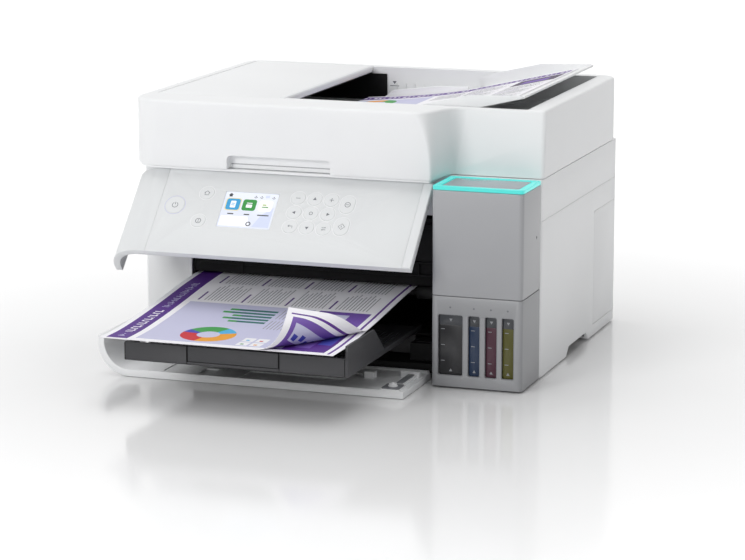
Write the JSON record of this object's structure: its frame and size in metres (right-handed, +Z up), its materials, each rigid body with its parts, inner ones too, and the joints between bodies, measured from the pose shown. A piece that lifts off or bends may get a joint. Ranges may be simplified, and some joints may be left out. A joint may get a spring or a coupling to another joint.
{
  "type": "inkjet printer",
  "caption": "Desktop inkjet multifunction printer with a flatbed scanner, document feeder, side ink tank, tilting control panel, pull-out trays and hinged covers.",
  "frame": {"origin": "centre of the bounding box at its base: on the surface the printer stands on, midway between its sides and midway between the tip of the printed page and the back of the rear cover", "axes": "-Y is the front, where the paper comes out; +Z is up; +X is the right side as seen from the front, where the ink tank is"},
  "size_m": [0.375, 0.497, 0.2485],
  "materials": {
    "white_shell": "fine-grained moulded surface",
    "soft_white": "fine-grained moulded surface",
    "keys": "smooth satin",
    "tank_grey": "satin, fine grain",
    "inner_black": "matt moulded",
    "tray_grey": "fine-grained moulded surface",
    "rubber": "matt",
    "rail_steel": "drawn strip",
    "platen_glass": "clear, polished",
    "paper": "plain office sheet, printed on the upper face",
    "ring_light": "lit translucent ring",
    "screen": "clear cover over a lit colour display",
    "ink_black": "translucent tank with dark ink",
    "ink_cyan": "translucent tank with cyan ink",
    "ink_magenta": "translucent tank with magenta ink",
    "ink_yellow": "translucent tank with yellow ink"
  },
  "bodies": {
    "base": {"base_housing": "white_shell", "side_access_cover": "white_shell", "foot_front_left": "rubber", "foot_front_right": "rubber", "foot_back_left": "rubber", "foot_back_right": "rubber", "mechanism_frame": "inner_black", "platen": "inner_black", "carriage_rail": "rail_steel", "power_supply": "inner_black", "power_inlet": "inner_black", "tank_case": "tank_grey", "ink_reservoir_black": "ink_black", "ink_reservoir_cyan": "ink_cyan", "ink_reservoir_magenta": "ink_magenta", "ink_reservoir_yellow": "ink_yellow"},
    "print_carriage": {"print_carriage": "inner_black"},
    "feed_roller": {"feed_roller": "rubber"},
    "exit_roller": {"exit_roller": "rubber"},
    "rear_cover": {"rear_cover": "soft_white"},
    "output_tray": {"output_tray": "tray_grey"},
    "tray_extension": {"tray_extension": "tray_grey"},
    "paper_cassette": {"paper_cassette": "tray_grey"},
    "printed_page": {"printed_page": "paper"},
    "front_cover": {"front_cover": "white_shell"},
    "tank_cover": {"tank_cover": "tank_grey", "tank_light_ring": "ring_light"},
    "scanner": {"scanner_housing": "white_shell", "scanner_glass": "platen_glass"},
    "scan_bar": {"scan_bar": "inner_black"},
    "panel": {"control_panel": "white_shell", "display": "screen"},
    "lid": {"document_lid": "white_shell", "lid_pad": "soft_white", "document_ramp": "soft_white"},
    "feed_cover": {"feed_cover": "white_shell"},
    "feed_drum": {"feed_drum": "rubber"},
    "pickup_roller": {"pickup_roller": "rubber"},
    "edge_guide_front": {"edge_guide_front": "white_shell"},
    "edge_guide_back": {"edge_guide_back": "white_shell"},
    "flap": {"document_flap": "white_shell", "document_page": "paper"},
    "tank_cap_black": {"tank_cap_black": "ink_black"},
    "tank_cap_cyan": {"tank_cap_cyan": "ink_cyan"},
    "tank_cap_magenta": {"tank_cap_magenta": "ink_magenta"},
    "tank_cap_yellow": {"tank_cap_yellow": "ink_yellow"},
    "key_power": {"key_power": "keys"},
    "key_home": {"key_home": "keys"},
    "key_help": {"key_help": "keys"},
    "key_stop": {"key_stop": "keys"},
    "key_start": {"key_start": "keys"},
    "key_minus": {"key_minus": "keys"},
    "key_up": {"key_up": "keys"},
    "key_plus": {"key_plus": "keys"},
    "key_left": {"key_left": "keys"},
    "key_ok": {"key_ok": "keys"},
    "key_right": {"key_right": "keys"},
    "key_back": {"key_back": "keys"},
    "key_down": {"key_down": "keys"},
    "key_swap": {"key_swap": "keys"}
  },
  "joints": [
    {"name": "scanner_lift", "type": "hinge", "parent": "base", "child": "scanner", "pos_m": [0, 0.2235, 0.1409], "axis": [-1, 0, 0], "range_deg": [0, 40]},
    {"name": "lid_lift", "type": "hinge", "parent": "scanner", "child": "lid", "pos_m": [0, 0.2235, 0.1777], "axis": [-1, 0, 0], "range_deg": [0, 75]},
    {"name": "panel_tilt", "type": "hinge", "parent": "scanner", "child": "panel", "pos_m": [-0.0453, -0.0665, 0.1617], "axis": [1, 0, 0], "range_deg": [0, 44.3]},
    {"name": "key_power_press", "type": "slide", "parent": "panel", "child": "key_power", "axis": [0, 0.7157, -0.6984], "range_m": [0, 0.0008], "stiffness_N_per_m": 300},
    {"name": "key_home_press", "type": "slide", "parent": "panel", "child": "key_home", "axis": [0, 0.7157, -0.6984], "range_m": [0, 0.0008], "stiffness_N_per_m": 300},
    {"name": "key_help_press", "type": "slide", "parent": "panel", "child": "key_help", "axis": [0, 0.7157, -0.6984], "range_m": [0, 0.0008], "stiffness_N_per_m": 300},
    {"name": "key_stop_press", "type": "slide", "parent": "panel", "child": "key_stop", "axis": [0, 0.7157, -0.6984], "range_m": [0, 0.0008], "stiffness_N_per_m": 300},
    {"name": "key_start_press", "type": "slide", "parent": "panel", "child": "key_start", "axis": [0, 0.7157, -0.6984], "range_m": [0, 0.0008], "stiffness_N_per_m": 300},
    {"name": "key_minus_press", "type": "slide", "parent": "panel", "child": "key_minus", "axis": [0, 0.7157, -0.6984], "range_m": [0, 0.0008], "stiffness_N_per_m": 300},
    {"name": "key_up_press", "type": "slide", "parent": "panel", "child": "key_up", "axis": [0, 0.7157, -0.6984], "range_m": [0, 0.0008], "stiffness_N_per_m": 300},
    {"name": "key_plus_press", "type": "slide", "parent": "panel", "child": "key_plus", "axis": [0, 0.7157, -0.6984], "range_m": [0, 0.0008], "stiffness_N_per_m": 300},
    {"name": "key_left_press", "type": "slide", "parent": "panel", "child": "key_left", "axis": [0, 0.7157, -0.6984], "range_m": [0, 0.0008], "stiffness_N_per_m": 300},
    {"name": "key_ok_press", "type": "slide", "parent": "panel", "child": "key_ok", "axis": [0, 0.7157, -0.6984], "range_m": [0, 0.0008], "stiffness_N_per_m": 300},
    {"name": "key_right_press", "type": "slide", "parent": "panel", "child": "key_right", "axis": [0, 0.7157, -0.6984], "range_m": [0, 0.0008], "stiffness_N_per_m": 300},
    {"name": "key_back_press", "type": "slide", "parent": "panel", "child": "key_back", "axis": [0, 0.7157, -0.6984], "range_m": [0, 0.0008], "stiffness_N_per_m": 300},
    {"name": "key_down_press", "type": "slide", "parent": "panel", "child": "key_down", "axis": [0, 0.7157, -0.6984], "range_m": [0, 0.0008], "stiffness_N_per_m": 300},
    {"name": "key_swap_press", "type": "slide", "parent": "panel", "child": "key_swap", "axis": [0, 0.7157, -0.6984], "range_m": [0, 0.0008], "stiffness_N_per_m": 300},
    {"name": "scan_bar_travel", "type": "slide", "parent": "scanner", "child": "scan_bar", "axis": [1, 0, 0], "range_m": [0, 0.31]},
    {"name": "tank_cover_lift", "type": "hinge", "parent": "base", "child": "tank_cover", "pos_m": [0.14585, -0.0427, 0.1762], "axis": [-1, 0, 0], "range_deg": [0, 75]},
    {"name": "tank_cap_black_pull", "type": "slide", "parent": "base", "child": "tank_cap_black", "axis": [0, 0, 1], "range_m": [0, 0.012]},
    {"name": "tank_cap_cyan_pull", "type": "slide", "parent": "base", "child": "tank_cap_cyan", "axis": [0, 0, 1], "range_m": [0, 0.012]},
    {"name": "tank_cap_magenta_pull", "type": "slide", "parent": "base", "child": "tank_cap_magenta", "axis": [0, 0, 1], "range_m": [0, 0.012]},
    {"name": "tank_cap_yellow_pull", "type": "slide", "parent": "base", "child": "tank_cap_yellow", "axis": [0, 0, 1], "range_m": [0, 0.012]},
    {"name": "carriage_travel", "type": "slide", "parent": "base", "child": "print_carriage", "axis": [-1, 0, 0], "range_m": [0, 0.168]},
    {"name": "feed_roller_spin", "type": "hinge", "parent": "base", "child": "feed_roller", "pos_m": [-0.0191, 0.0715, 0.0674], "axis": [1, 0, 0], "continuous": true},
    {"name": "exit_roller_spin", "type": "hinge", "parent": "base", "child": "exit_roller", "pos_m": [-0.0191, -0.0255, 0.0679], "axis": [1, 0, 0], "continuous": true},
    {"name": "output_tray_slide", "type": "slide", "parent": "base", "child": "output_tray", "axis": [0, 1, 0], "range_m": [0, 0.153]},
    {"name": "tray_extension_slide", "type": "slide", "parent": "output_tray", "child": "tray_extension", "axis": [0, -1, 0], "range_m": [0, 0.09]},
    {"name": "cassette_slide", "type": "slide", "parent": "base", "child": "paper_cassette", "axis": [0, 1, 0], "range_m": [-0.2, 0]},
    {"name": "page_slide", "type": "slide", "parent": "base", "child": "printed_page", "axis": [0, -1, 0], "range_m": [0, 0.06]},
    {"name": "front_cover_swing", "type": "hinge", "parent": "base", "child": "front_cover", "pos_m": [-0.0222, -0.0725, 0.0045], "axis": [-1, 0, 0], "range_deg": [0, 17]},
    {"name": "rear_cover_pull", "type": "slide", "parent": "base", "child": "rear_cover", "axis": [0, 1, 0], "range_m": [0, 0.04]},
    {"name": "feed_cover_swing", "type": "hinge", "parent": "lid", "child": "feed_cover", "pos_m": [-0.1769, 0.09, 0.2367], "axis": [0, -1, 0], "range_deg": [0, 75]},
    {"name": "feed_drum_spin", "type": "hinge", "parent": "lid", "child": "feed_drum", "pos_m": [-0.1395, 0.09, 0.204], "axis": [0, 1, 0], "continuous": true},
    {"name": "pickup_roller_spin", "type": "hinge", "parent": "lid", "child": "pickup_roller", "pos_m": [-0.0755, 0.086, 0.207], "axis": [0, 1, 0], "continuous": true},
    {"name": "flap_fold", "type": "hinge", "parent": "lid", "child": "flap", "pos_m": [0.0585, 0.09, 0.2289], "axis": [0, -1, 0], "range_deg": [0, 167]},
    {"name": "edge_guide_back_slide", "type": "slide", "parent": "lid", "child": "edge_guide_back", "axis": [0, 1, 0], "range_m": [0, 0.003]},
    {"name": "edge_guide_front_slide", "type": "slide", "parent": "lid", "child": "edge_guide_front", "axis": [0, 1, 0], "range_m": [-0.003, 0]}
  ],
  "couplings": [
    {"joint": "exit_roller_spin", "follows": "feed_roller_spin", "ratio": 1.1607},
    {"joint": "pickup_roller_spin", "follows": "feed_drum_spin", "ratio": -1.7778},
    {"joint": "edge_guide_front_slide", "follows": "edge_guide_back_slide", "ratio": -1}
  ]
}
